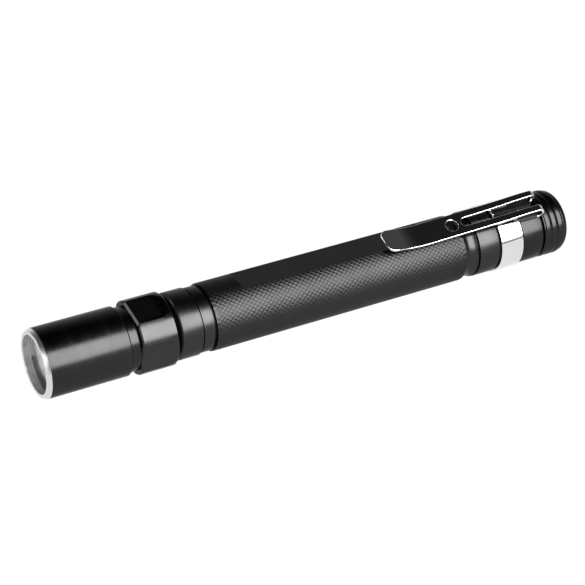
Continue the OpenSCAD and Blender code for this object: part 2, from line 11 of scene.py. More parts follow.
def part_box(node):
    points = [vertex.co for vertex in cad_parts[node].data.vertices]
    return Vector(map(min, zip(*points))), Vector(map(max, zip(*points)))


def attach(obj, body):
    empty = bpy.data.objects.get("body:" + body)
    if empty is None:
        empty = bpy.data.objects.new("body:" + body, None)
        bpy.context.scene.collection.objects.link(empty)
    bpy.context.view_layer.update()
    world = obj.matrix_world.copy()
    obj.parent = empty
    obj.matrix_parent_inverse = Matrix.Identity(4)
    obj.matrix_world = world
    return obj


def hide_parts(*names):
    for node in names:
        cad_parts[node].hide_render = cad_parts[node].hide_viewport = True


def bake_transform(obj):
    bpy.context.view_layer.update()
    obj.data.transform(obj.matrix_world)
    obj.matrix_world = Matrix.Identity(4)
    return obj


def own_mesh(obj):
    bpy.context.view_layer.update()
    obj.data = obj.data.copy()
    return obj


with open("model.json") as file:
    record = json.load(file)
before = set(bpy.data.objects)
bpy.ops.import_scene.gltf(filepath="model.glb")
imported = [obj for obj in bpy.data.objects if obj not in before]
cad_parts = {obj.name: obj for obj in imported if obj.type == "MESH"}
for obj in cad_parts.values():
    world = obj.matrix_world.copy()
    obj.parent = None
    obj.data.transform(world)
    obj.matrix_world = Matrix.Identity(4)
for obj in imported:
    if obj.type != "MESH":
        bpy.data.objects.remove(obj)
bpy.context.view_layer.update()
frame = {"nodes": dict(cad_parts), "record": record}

# Sizes are in millimetres: stations run back from the front rim, radii and heights from the light's axis.
# Angles are in degrees from straight up towards the photographed side.
MM = 0.001


def station_span(node):
    """First and last station of a solid."""
    low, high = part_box(node)
    return (low.x - front_x) / MM, (high.x - front_x) / MM


def outer_radius(node):
    """Half the height of a turned solid."""
    low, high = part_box(node)
    return (high.z - low.z) / 2 / MM


front_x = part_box("bezel_ring")[0].x
axis_z = (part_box("body_tube")[0].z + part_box("body_tube")[1].z) / 2

# Bezel, lens and reflector
head_r = outer_radius("bezel_ring")
bezel_end = station_span("bezel_ring")[1]
lens_start, lens_end = station_span("lens")
lens_r = outer_radius("lens")
reflector_start, reflector_end = station_span("reflector")
reflector_r = outer_radius("reflector")
bezel_chamfer_w = 0.45
bezel_opening_r = 6.4
bezel_thread_r = 6.97
lens_pocket_r = 6.6
lens_edge = 0.12
reflector_rim_w = 0.45
reflector_rim_l = 2.0
reflector_base_t = 1.2
reflector_hole_r = 2.54
reflector_foot_r = 3.94
reflector_steps = 24

# Head barrel and collar
barrel_start, collar_end = station_span("head_barrel")
collar_r = outer_radius("head_barrel")
barrel_end = barrel_start + 18.06
barrel_rear_bevel = 0.25
neck_groove_r = head_r - 0.53
collar_start = barrel_end + 2.25
collar_front_bevel = 0.3
collar_rear_bevel = 0.55
collar_flats = 4
flat_pitch = 360 / collar_flats
collar_roll = 12.5
flat_face_r = collar_r - 0.9
flat_face_end = collar_start + 5.85
flat_front_bevel = 0.45
flat_run_out = 1.9
fine_step = 0.002
undercut_w = 0.4
undercut_r = neck_groove_r - 0.35
collar_bore_r = 6.33
head_bore_r = 6.5

# Knurled tube
tube_front, tube_rear = station_span("body_tube")
grip_r = outer_radius("body_tube")
tube_bore_r = 5.35
spigot_r = 6.3
front_ring_start = collar_end + 0.5
front_ring_end = front_ring_start + 4.96
front_ring_r = grip_r - 0.08
front_ring_bevel = 0.5
recess_r = grip_r - 0.34
grip_start = front_ring_end + 3.4
rear_ring_end = station_span("clip_band")[0] - 0.45
rear_ring_start = rear_ring_end - 5.1
grip_end = rear_ring_start - 3.7
rear_ring_r = grip_r - 0.05
rear_groove_edge_r = rear_ring_r - 0.1
rear_groove_sink = 0.4
rear_line_w = 0.5
rear_line_r = rear_ring_r - 0.55
flat_start = grip_start + 8.03
flat_end = grip_end - 7.9
flat_h = grip_r - 1.0
flat_end_bevel = 0.35
flat_slack = 0.01
flat_facing = 0.999
ring_line_w = 0.45
ring_line_r = grip_r - 0.62
grip_line_w = 0.6
grip_line_r = grip_r - 0.8
knurl_round = 40
knurl_along = 50
knurl_depth = 0.045
knurl_top_share = 0.62
clip_seat_r = 6.95
tail_thread_r = 6.5
thread_pitch = 0.75
thread_depth = 0.28
thread_steepness = 1.25
seal_groove_start, seal_groove_end = station_span("tail_seal")
seal_groove_r = 5.87
thread_start = seal_groove_end + 0.6

# Clip
band_start = station_span("clip_band")[0]
band_end = band_start + 5.75
band_inner_r = 7.01
band_outer_r = 7.77
clip_t = 0.56
clip_roll = 24.5
clip_w = 5.8
clip_tip = station_span("clip_arm")[0]
clip_edge = 0.13
clip_edge_land = clip_edge + 0.08
clip_tip_corner = 2.0
bend_station = 120.4
bend_r = 0.96
neck_h = 7.85
neck_w = 3.6
neck_taper = 1.8
neck_taper_lead = 0.4
neck_end = band_start + 0.12
neck_corner = 0.5
slot_start = band_start - 8.85
slot_front_r = 1.1
slot_rear_r = 1.4
slot_overrun = 0.3
clip_hole_r = 1.5
clip_web = 0.9
clip_hole = slot_start - clip_web - clip_hole_r
arm_line = [
    (clip_tip, 9.85),
    (84, 9.25),
    (87, 8.72),
    (90, 8.45),
    (93, 8.5),
    (97, 8.68),
    (102, 8.86),
    (107, 9.06),
    (112, 9.3),
    (116, 9.62),
    (118.5, 9.74),
    (bend_station, neck_h + 2 * bend_r),
]

# Tail cap and button
cap_start, cap_end = station_span("tail_cap")
cap_r = outer_radius("tail_cap")
skirt_end = cap_start + 5.45
skirt_bevel = 0.25
cap_groove_end = skirt_end + 0.8
cap_groove_r = cap_r - 0.95
ridge_valley_r = cap_r - 0.2
ridge_count = 3
ridge_pitch = 1.6
ridges_start = cap_groove_end + 0.2
cap_bore_r = 6.56
chamber_r = 6.1
chamber_start = station_span("contact_board")[0]
chamber_end = cap_end - 1.35
button_start, button_top = station_span("tail_button")
flange_r = outer_radius("tail_button")
button_r = 4.2
button_bore_r = 4.3
flange_end = button_start + 0.6
button_edge = 0.45
dish_r = button_r - 1.1
dish_depth = 0.18
dish_steps = 8
return_start, return_end = station_span("switch_spring")
return_wire_r = 0.18
return_coil_r = outer_radius("switch_spring") - return_wire_r
return_turns = 4

# Fineness of the meshes
turned_columns = 128
merge_reach = 0.0005
sliver_reach = 0.0002
ease_share = 0.45


# Shared makers


def at(station, radius, angle):
    """Point in the frame at a station, a distance from the axis and an angle from straight up."""
    turn = math.radians(angle)
    return Vector((
        front_x + station * MM,
        -radius * MM * math.sin(turn),
        axis_z + radius * MM * math.cos(turn),
    ))


def eased(corners, steps=3):
    """Profile of (station, radius) points, with an arc at each corner given as (station, radius, easing)."""
    points = []
    count = len(corners)
    for i, corner in enumerate(corners):
        here = Vector(corner[:2])
        easing = corner[2] if len(corner) > 2 else 0
        if not easing:
            points.append(tuple(here))
            continue
        before = Vector(corners[i - 1][:2]) - here
        after = Vector(corners[(i + 1) % count][:2]) - here
        reach = min(easing, ease_share * before.length, ease_share * after.length)
        start = here + before.normalized() * reach
        end = here + after.normalized() * reach
        for k in range(steps + 1):
            t = k / steps
            points.append(tuple(start * (1 - t) ** 2 + here * (2 * t * (1 - t)) + end * t ** 2))
    return points


def arc_points(x, y, radius, start, end, steps):
    """Points on an arc about a centre, with angles in degrees."""
    points = []
    for k in range(steps + 1):
        turn = math.radians(start + (end - start) * k / steps)
        points.append((x + radius * math.cos(turn), y + radius * math.sin(turn)))
    return points


def new_piece(name, mesh, *materials, sharp=28):
    """Object for a finished mesh, shaded smooth apart from its sharp edges."""
    mesh.shade_smooth()
    mesh.set_sharp_from_angle(angle=math.radians(sharp))
    for material in materials:
        mesh.materials.append(material)
    piece = bpy.data.objects.new(name, mesh)
    bpy.context.scene.collection.objects.link(piece)
    return piece


def mesh_from(name, points, faces, second_finish=()):
    """Closed mesh with doubled points joined and faces turned outwards. Listed faces take a second finish."""
    shell = bmesh.new()
    corners = [shell.verts.new(p) for p in points]
    for face in faces:
        shell.faces.new([corners[k] for k in face])
    shell.faces.ensure_lookup_table()
    for k in second_finish:
        shell.faces[k].material_index = 1
    bmesh.ops.remove_doubles(shell, verts=shell.verts, dist=merge_reach * MM)
    bmesh.ops.dissolve_degenerate(shell, edges=shell.edges, dist=sliver_reach * MM)
    bmesh.ops.recalc_face_normals(shell, faces=shell.faces)
    mesh = bpy.data.meshes.new(name)
    shell.to_mesh(mesh)
    shell.free()
    return mesh


def wall(near, far, count):
    """Faces between two closed rings of points, each given by the number of its first point."""
    faces = []
    for i in range(count):
        j = (i + 1) % count
        faces.append((near + i, near + j, far + j, far + i))
    return faces


def turned_mesh(name, profile, angles=None, limit=None):
    """Turns a closed profile about the axis. limit(station, radius, angle) can cut a radius back."""
    angles = angles or [360 * i / turned_columns for i in range(turned_columns)]
    columns = len(angles)
    points = []
    for station, radius in profile:
        for angle in angles:
            cut = limit(station, radius, angle) if limit else radius
            points.append(at(station, cut, angle))
    faces = []
    rows = len(profile)
    for row in range(rows):
        faces += wall(row * columns, (row + 1) % rows * columns, columns)
    return mesh_from(name, points, faces)


def dress(piece, body, node):
    """Lets a piece ride a body in place of its solid."""
    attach(piece, body)
    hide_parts(node)


def turned_piece(name, profile, body, slot, node):
    """Turns a profile into a piece that stands for a solid, with the finish of its slot."""
    piece = new_piece(name, turned_mesh(name, profile), finishes[slot])
    dress(piece, body, node)


# Finishes


def add_node(tree, kind, inputs=None, **options):
    """Adds a shader node with its options, and sets or links its inputs."""
    node = tree.nodes.new(kind)
    for name, value in options.items():
        setattr(node, name, value)
    for name, value in (inputs or {}).items():
        if isinstance(value, bpy.types.NodeSocket):
            tree.links.new(value, node.inputs[name])
        else:
            node.inputs[name].default_value = value
    return node


def new_effect(name, inputs, outputs):
    """Empty node group with named number sockets."""
    tree = bpy.data.node_groups.new(name, "ShaderNodeTree")
    for socket, value in inputs.items():
        tree.interface.new_socket(socket, in_out="INPUT", socket_type="NodeSocketFloat").default_value = value
    for socket in outputs:
        tree.interface.new_socket(socket, in_out="OUTPUT", socket_type="NodeSocketFloat")
    return tree, tree.nodes.new("NodeGroupInput"), tree.nodes.new("NodeGroupOutput")


def maths(tree, operation, *values):
    """Result of a maths node on numbers or sockets."""
    return add_node(tree, "ShaderNodeMath", dict(enumerate(values)), operation=operation).outputs[0]


def spread(tree, mask, start, end, low=0.0, high=1.0):
    """Maps a mask between two of its values onto two others."""
    return add_node(tree, "ShaderNodeMapRange", {0: mask, 1: start, 2: end, 3: low, 4: high}).outputs[0]


def per_mm(tree, socket):
    """Turns a count per millimetre into a count per metre."""
    return maths(tree, "MULTIPLY", socket, 1 / MM)


def make_turning_marks():
    """Fine rings that a lathe tool leaves round the axis, with a slow drift along the piece."""
    tree, given, result = new_effect("turning_marks", {"Rings per mm": 6.0}, ["Height", "Drift"])
    place = add_node(tree, "ShaderNodeTexCoord").outputs["Object"]
    rings = per_mm(tree, given.outputs["Rings per mm"])
    stretch = add_node(tree, "ShaderNodeCombineXYZ", {"X": rings, "Y": 60.0, "Z": 60.0}).outputs[0]
    ringed = add_node(tree, "ShaderNodeVectorMath", {0: place, 1: stretch}, operation="MULTIPLY").outputs[0]
    fine = add_node(tree, "ShaderNodeTexNoise", {"Vector": ringed, "Scale": 1.0, "Detail": 2.0})
    slow = add_node(tree, "ShaderNodeTexNoise", {"Vector": ringed, "Scale": 0.07, "Detail": 1.0})
    tree.links.new(fine.outputs[0], result.inputs["Height"])
    tree.links.new(slow.outputs[0], result.inputs["Drift"])
    return tree


def make_grain():
    """Even speckle of a blasted, moulded or dyed skin, with soft clouds over it."""
    tree, given, result = new_effect("skin_grain", {"Grains per mm": 12.0}, ["Height", "Clouds"])
    place = add_node(tree, "ShaderNodeTexCoord").outputs["Object"]
    grains = per_mm(tree, given.outputs["Grains per mm"])
    speck = add_node(tree, "ShaderNodeTexNoise", {"Vector": place, "Scale": grains, "Detail": 3.0})
    cloud = add_node(tree, "ShaderNodeTexNoise", {"Vector": place, "Scale": 110.0, "Detail": 4.0})
    tree.links.new(speck.outputs[0], result.inputs["Height"])
    tree.links.new(cloud.outputs[0], result.inputs["Clouds"])
    return tree


def make_hairlines():
    """Sparse hair scratches from pockets and keys, running mostly along the light."""
    tree, given, result = new_effect("hairline_scratches", {"Scratches per mm": 3.0}, ["Scratch", "Height"])
    place = add_node(tree, "ShaderNodeTexCoord").outputs["Object"]
    across = per_mm(tree, given.outputs["Scratches per mm"])
    stretch = add_node(tree, "ShaderNodeCombineXYZ", {"X": 90.0, "Y": across, "Z": across}).outputs[0]
    combed = add_node(tree, "ShaderNodeVectorMath", {0: place, 1: stretch}, operation="MULTIPLY").outputs[0]
    line = add_node(tree, "ShaderNodeTexNoise", {"Vector": combed, "Scale": 1.0, "Detail": 2.0}).outputs[0]
    tree.links.new(spread(tree, line, 0.62, 0.7), result.inputs["Scratch"])
    tree.links.new(line, result.inputs["Height"])
    return tree


turning_marks = make_turning_marks()
skin_grain = make_grain()
hairlines = make_hairlines()


def grey(value):
    """Neutral colour."""
    return value, value, value


def new_finish(name, metallic, edge=1.0):
    """Material with its tree and main shader. A lower edge value dulls it where it is seen edge on."""
    material = bpy.data.materials.new(name)
    material.use_nodes = True
    shader = material.node_tree.nodes["Principled BSDF"]
    shader.inputs["Metallic"].default_value = metallic
    shader.inputs["Specular Tint"].default_value = (*grey(edge), 1)
    return material, material.node_tree, shader


def effect(tree, group, scale):
    """Places a shared effect with its own scale."""
    node = add_node(tree, "ShaderNodeGroup", node_tree=group)
    node.inputs[0].default_value = scale
    return node.outputs


def vary_roughness(tree, shader, mask, low, high):
    """Moves the roughness between two values along a mask."""
    tree.links.new(spread(tree, mask, *noise_span, low, high), shader.inputs["Roughness"])


def vary_colour(tree, shader, mask, first, second):
    """Moves the base colour between two colours along a mask."""
    mix = add_node(tree, "ShaderNodeMix", data_type="RGBA")
    tree.links.new(spread(tree, mask, *cloud_span), mix.inputs["Factor"])
    mix.inputs[6].default_value = (*first, 1)
    mix.inputs[7].default_value = (*second, 1)
    tree.links.new(mix.outputs[2], shader.inputs["Base Color"])


def emboss(tree, shader, height, depth):
    """Lifts the surface along a height by a depth in millimetres."""
    bump = add_node(tree, "ShaderNodeBump", {"Height": height, "Distance": depth * MM, "Strength": 1.0})
    tree.links.new(bump.outputs[0], shader.inputs["Normal"])


def make_anodized(name, dark, light, low, high, rings_per_mm):
    """Black anodized aluminium: a dark dyed skin over turned metal."""
    material, tree, shader = new_finish(name, 1.0, dyed_edge)
    rings = effect(tree, turning_marks, rings_per_mm)
    skin = effect(tree, skin_grain, dyed_grains)
    vary_colour(tree, shader, skin["Clouds"], grey(dark), grey(light))
    vary_roughness(tree, shader, rings["Drift"], low, high)
    emboss(tree, shader, rings["Height"], fine_ring_depth)
    return material


def make_turned_metal(name, first, second, low, high, rings_per_mm, depth):
    """Bare metal with turning or drawing rings. A bore's rings have no depth."""
    material, tree, shader = new_finish(name, 1.0)
    rings = effect(tree, turning_marks, rings_per_mm)
    vary_colour(tree, shader, rings["Drift"], first, second)
    vary_roughness(tree, shader, rings["Height"], low, high)
    if depth:
        emboss(tree, shader, rings["Height"], depth)
    return material


def make_grained(name, first, second, low, high, grains_per_mm, depth, metallic=0.0, edge=1.0):
    """Pressed, coated or moulded skin with an even grain."""
    material, tree, shader = new_finish(name, metallic, edge)
    skin = effect(tree, skin_grain, grains_per_mm)
    vary_colour(tree, shader, skin["Clouds"], first, second)
    vary_roughness(tree, shader, skin["Height"], low, high)
    emboss(tree, shader, skin["Height"], depth)
    return material


def make_moulded(name, first, second, low, high):
    """Moulded plastic, solder mask or insulation with a slight grain."""
    return make_grained(name, first, second, low, high, moulded_grains, grain_depth)


def make_chrome(name):
    """Polished chrome on spring steel, with a few pocket hairlines."""
    material, tree, shader = new_finish(name, 1.0)
    marks = effect(tree, hairlines, 5.0)
    skin = effect(tree, skin_grain, 2.0)
    vary_colour(tree, shader, skin["Clouds"], (0.7, 0.703, 0.708), (0.76, 0.763, 0.768))
    vary_roughness(tree, shader, marks["Scratch"], 0.06, 0.16)
    emboss(tree, shader, marks["Height"], 0.0002)
    return material


def make_lens_glass(name):
    """Clear flat glass with a trace of finger haze."""
    material, tree, shader = new_finish(name, 0.0)
    shader.inputs["Base Color"].default_value = (0.97, 0.985, 0.98, 1)
    shader.inputs["Transmission Weight"].default_value = 1.0
    shader.inputs["IOR"].default_value = 1.5
    skin = effect(tree, skin_grain, 3.0)
    vary_roughness(tree, shader, skin["Clouds"], 0.0, 0.03)
    return material


noise_span = (0.3, 0.7)
cloud_span = (0.35, 0.65)
dyed_edge = 0.6
dyed_grains = 16.0
moulded_grains = 7.0
ring_depth = 0.001
fine_ring_depth = 0.0008
grain_depth = 0.002
rubber_grain_depth = 0.012

# Maker, two colours or greys, two roughnesses, marks per mm and their depth in mm, metallic, edge
recipes = {
    "head_black": (make_anodized, 0.028, 0.033, 0.22, 0.28, 5.0),
    "collar_black": (make_anodized, 0.039, 0.044, 0.2, 0.26, 5.0),
    "tube_black": (make_anodized, 0.038, 0.043, 0.26, 0.32, 4.0),
    # The same anodizing over the pressed knurl, a little duller and more grained
    "knurl_black": (
        make_grained, grey(0.031), grey(0.036), 0.34, 0.42, 9.0, grain_depth, 1.0, dyed_edge),
    # Bare diamond-turned metal with close tool rings
    "bright_aluminium": (
        make_turned_metal, (0.62, 0.623, 0.627), (0.68, 0.682, 0.685), 0.24, 0.34, 11.0, fine_ring_depth),
    # Bore of the bezel, left satin by the boring tool
    "bezel_bore": (make_turned_metal, (0.82, 0.823, 0.827), (0.88, 0.882, 0.885), 0.36, 0.46, 6.0, 0),
    "chrome_clip": (make_chrome,),
    # Near-black steel on the clip's inner face and the neck's edge walls: painted shade under the arm, not
    # the steel's own colour
    "clip_inner_face": (
        make_grained, (0.02, 0.02, 0.021), (0.032, 0.032, 0.033), 0.38, 0.5, 6.0, grain_depth, 1.0),
    "clear_lens": (make_lens_glass,),
    # Satin metal coating with a faint orange peel
    "reflector_mirror": (
        make_grained, (0.9, 0.902, 0.905), (0.945, 0.947, 0.95), 0.4, 0.5, 3.0, grain_depth, 1.0),
    # Soft matt rubber with a fine moulded grain
    "black_rubber": (
        make_grained, (0.008, 0.008, 0.009), (0.016, 0.016, 0.017), 0.55, 0.75, 10.0, rubber_grain_depth),
    "brass_parts": (make_turned_metal, (0.72, 0.5, 0.2), (0.82, 0.6, 0.28), 0.25, 0.38, 7.0, ring_depth),
    "spring_steel": (make_turned_metal, (0.68, 0.6, 0.42), (0.8, 0.72, 0.52), 0.2, 0.32, 4.0, ring_depth),
    "cell_jacket": (make_turned_metal, (0.3, 0.32, 0.36), (0.38, 0.4, 0.44), 0.3, 0.42, 3.0, ring_depth),
    "circuit_board": (make_moulded, (0.012, 0.09, 0.03), (0.02, 0.14, 0.05), 0.3, 0.45),
    "white_board": (make_moulded, (0.78, 0.78, 0.76), (0.84, 0.84, 0.82), 0.4, 0.55),
    "white_plastic": (make_moulded, (0.76, 0.75, 0.7), (0.82, 0.81, 0.77), 0.4, 0.55),
    "led_phosphor": (make_moulded, (0.8, 0.62, 0.12), (0.88, 0.72, 0.2), 0.15, 0.3),
    "lead_insulation": (make_moulded, (0.45, 0.02, 0.02), (0.55, 0.04, 0.03), 0.4, 0.55),
    "red_plastic": (make_moulded, (0.4, 0.03, 0.025), (0.5, 0.05, 0.04), 0.35, 0.5),
}
finishes = {name: make(name, *values) for name, (make, *values) in recipes.items()}
finishes["black_anodized"] = finishes["head_black"]


def dress_solids():
    """Gives each carried-over solid the procedural finish of its slot."""
    for part in frame["record"]["subparts"]:
        solid = frame["nodes"][part["node"]]
        for place in solid.material_slots:
            place.material = finishes[part["material_slot"]]


dress_solids()


# Bezel, lens and reflector


def make_bezel():
    """Bright ring with its chamfer, lens lip and threaded skirt."""
    profile = eased([
        (0, bezel_opening_r, 0.06),
        (0, head_r - bezel_chamfer_w, 0.05),
        (barrel_start, head_r, 0.05),
        (barrel_start, bezel_thread_r),
        (bezel_end, bezel_thread_r, 0.1),
        (bezel_end, lens_pocket_r),
        (lens_start, lens_pocket_r),
        (lens_start, bezel_opening_r, 0.06),
    ])
    mesh = turned_mesh("bezel_front_ring", profile)
    for face in mesh.polygons:
        outward = face.normal.y * face.center.y + face.normal.z * (face.center.z - axis_z)
        face.material_index = int(outward < 0)
    ring = new_piece("bezel_front_ring", mesh, finishes["bright_aluminium"], finishes["bezel_bore"])
    dress(ring, "light", "bezel_ring")


def make_lens():
    """Flat glass disc with ground edges."""
    profile = [
        (lens_start, 0),
        (lens_start, lens_r - lens_edge),
        (lens_start + lens_edge, lens_r),
        (lens_end - lens_edge, lens_r),
        (lens_end, lens_r - lens_edge),
        (lens_end, 0),
    ]
    turned_piece("front_glass", profile, "light", "clear_lens", "lens")


def make_reflector():
    """Parabolic cup with a flat rim, a foot and the hole for the light source."""
    rim_r = reflector_r - reflector_rim_w
    cup_l = reflector_end - reflector_start - reflector_base_t
    cup_depth = cup_l * rim_r ** 2 / (rim_r ** 2 - reflector_hole_r ** 2)
    steps = [cup_l * i / reflector_steps for i in range(reflector_steps + 1)]
    cup = [(reflector_start + x, rim_r * math.sqrt(1 - x / cup_depth)) for x in steps]
    profile = cup + [
        (reflector_end, reflector_hole_r),
        (reflector_end, reflector_foot_r),
        (reflector_start + reflector_rim_l, reflector_r),
        (reflector_start, reflector_r),
    ]
    turned_piece("reflector_cup", profile, "light", "reflector_mirror", "reflector")


make_bezel()
make_lens()
make_reflector()


# Head


def collar_angles():
    """Columns round the head, with one on each edge of every flat."""
    half = math.degrees(math.acos(flat_face_r / collar_r))
    across = 16
    corner = 12
    angles = []
    for i in range(collar_flats):
        middle = collar_roll + i * flat_pitch
        angles += [middle - half + 2 * half * k / across for k in range(across)]
        angles += [middle + half + (flat_pitch - 2 * half) * k / corner for k in range(corner)]
    return angles


def flat_limit(station, radius, angle):
    """Cuts the collar back to its milled flats, with a bevel in front and a sloped run-out behind."""
    if not collar_start - fine_step / 2 < station < flat_face_end + flat_run_out:
        return radius
    off = (angle - collar_roll + flat_pitch / 2) % flat_pitch - flat_pitch / 2
    bevel = max(0, flat_front_bevel - max(0, station - collar_start))
    rise = max(0, station - flat_face_end) / flat_run_out * (collar_r - flat_face_r)
    face = flat_face_r / math.cos(math.radians(off)) + rise
    return min(radius, max(face - bevel, undercut_r))


def make_head():
    """Barrel, neck groove and flatted collar, turned and milled from one bar."""
    steps = 8
    run_out = [(flat_face_end + flat_run_out * k / steps, collar_r) for k in range(steps + 1)]
    profile = eased([
        (barrel_start, bezel_thread_r),
        (barrel_start, head_r, 0.04),
        (barrel_end - barrel_rear_bevel, head_r, 0.08),
        (barrel_end, head_r - barrel_rear_bevel, 0.05),
        (barrel_end, neck_groove_r, 0.12),
        (collar_start - undercut_w, neck_groove_r, 0.04),
        (collar_start - undercut_w, undercut_r),
        (collar_start - fine_step, undercut_r),
        (collar_start, collar_r - collar_front_bevel),
        (collar_start + collar_front_bevel, collar_r),
        (collar_start + flat_front_bevel, collar_r),
        *run_out,
        (collar_end - collar_rear_bevel, collar_r, 0.1),
        (collar_end, collar_r - collar_rear_bevel, 0.1),
        (collar_end, collar_bore_r),
        (barrel_end, collar_bore_r),
        (barrel_end, head_bore_r),
        (bezel_end, head_bore_r),
        (bezel_end, bezel_thread_r),
    ])
    mesh = turned_mesh("head_shell", profile, collar_angles(), flat_limit)
    for face in mesh.polygons:
        station = (face.center.x - front_x) / MM
        face.material_index = int(station > collar_start - fine_step)
    head = new_piece("head_shell", mesh, finishes["black_anodized"], finishes["collar_black"], sharp=20)
    dress(head, "light", "head_barrel")


make_head()


# Knurled tube


def hollow_rows(start, end, edge_r, sink, steps=12):
    """Rows of a shallow hollow groove between two stations."""
    rows = []
    for k in range(steps + 1):
        t = 2 * k / steps - 1
        rows.append((start + (end - start) * k / steps, edge_r - sink * (1 - t * t)))
    return rows


def thread_rows(steps_per_turn=8):
    """Stations along the tail thread, close enough together to show its turns."""
    length = tube_rear - thread_start
    count = round(length / thread_pitch * steps_per_turn)
    return [thread_start + length * k / count for k in range(count + 1)]


def thread_radius(station, angle):
    """Radius of the tail thread, a helix that fades out at both of its ends."""
    turns = (station - thread_start) / thread_pitch
    turn = (turns - angle / 360) % 1
    groove = max(0, 1 - abs(2 * turn - 1) * thread_steepness)
    fade = min(1, turns, (tube_rear - station) / thread_pitch)
    return tail_thread_r - thread_depth * groove * max(0, fade)


class TubeShell:
    """Points and faces of the tube, built row by row from the front."""

    def __init__(self, columns):
        self.columns = columns
        self.points = []
        self.faces = []

    def angle(self, i):
        return 360 * i / self.columns

    def row(self, station, radius):
        """Adds a ring of points and gives the number of its first. radius may be a function of the angle."""
        first = len(self.points)
        for i in range(self.columns):
            angle = self.angle(i)
            reach = radius(angle) if callable(radius) else radius
            self.points.append(at(station, reach, angle))
        return first

    def join(self, rings):
        """Adds the walls from each ring to the next."""
        for near, far in zip(rings, rings[1:]):
            self.faces += wall(near, far, self.columns)

    def diamond(self, i, j, grid, stations, top_r):
        """Adds one knurl diamond as a flat-topped pyramid on its four valley points."""
        left = (i - 1) % self.columns
        right = (i + 1) % self.columns
        base = [grid[j - 1] + i, grid[j] + right, grid[j + 1] + i, grid[j] + left]
        half = (stations[j + 1] - stations[j]) * knurl_top_share
        lean = 360 / self.columns * knurl_top_share
        middle = self.angle(i)
        top = [len(self.points) + k for k in range(4)]
        for ahead, aside in ((-half, 0), (0, lean), (half, 0), (0, -lean)):
            self.points.append(at(stations[j] + ahead, top_r, middle + aside))
        self.faces.append(tuple(top))
        for k in range(4):
            n = (k + 1) % 4
            self.faces.append((base[k], base[n], top[n], top[k]))

    def knurl(self, start, end, top_r, valley_r, along):
        """Adds the knurled stretch and gives its first and last rings."""
        last = 2 * along
        stations = [start + (end - start) * j / last for j in range(last + 1)]
        grid = [self.row(station, valley_r) for station in stations]
        for j in range(1, last):
            for i in range(self.columns):
                if (i + j) % 2:
                    self.diamond(i, j, grid, stations, top_r)
        for edge, inner in ((0, 1), (last, last - 1)):
            for i in range(self.columns):
                if (i + edge) % 2:
                    left = (i - 1) % self.columns
                    right = (i + 1) % self.columns
                    self.faces.append((grid[edge] + left, grid[edge] + i, grid[inner] + i))
                    self.faces.append((grid[edge] + i, grid[edge] + right, grid[inner] + i))
        return grid[0], grid[last]


def flat_cutter():
    """Block that mills the smooth flat, with a bevel at each end where it breaks the knurl."""
    above = grip_r + 1
    beside = grip_r
    rise = grip_r - flat_end_bevel
    side = [
        (flat_start, flat_h),
        (flat_end, flat_h),
        (flat_end, rise),
        (flat_end + above - rise, above),
        (flat_start - above + rise, above),
        (flat_start, rise),
    ]
    count = len(side)
    points = []
    for y in (-beside, beside):
        points += [Vector((front_x + x * MM, y * MM, axis_z + h * MM)) for x, h in side]
    faces = [tuple(range(count)), tuple(range(2 * count - 1, count - 1, -1))]
    return mesh_from("flat_cutter", points, faces + wall(0, count, count))


def mill_flat(mesh):
    """Cuts the smooth flat into the tube's mesh."""
    blank = bpy.data.objects.new("tube_blank", mesh)
    cutter = bpy.data.objects.new("flat_cutter", flat_cutter())
    for block in (blank, cutter):
        bpy.context.scene.collection.objects.link(block)
    cut = blank.modifiers.new("mill", "BOOLEAN")
    cut.object = cutter
    cut.operation = "DIFFERENCE"
    cut.solver = "EXACT"
    bpy.context.view_layer.update()
    graph = bpy.context.evaluated_depsgraph_get()
    result = bpy.data.meshes.new_from_object(blank.evaluated_get(graph))
    result.name = "tube_shell"
    for block in (blank, cutter):
        bpy.data.objects.remove(block)
    return result


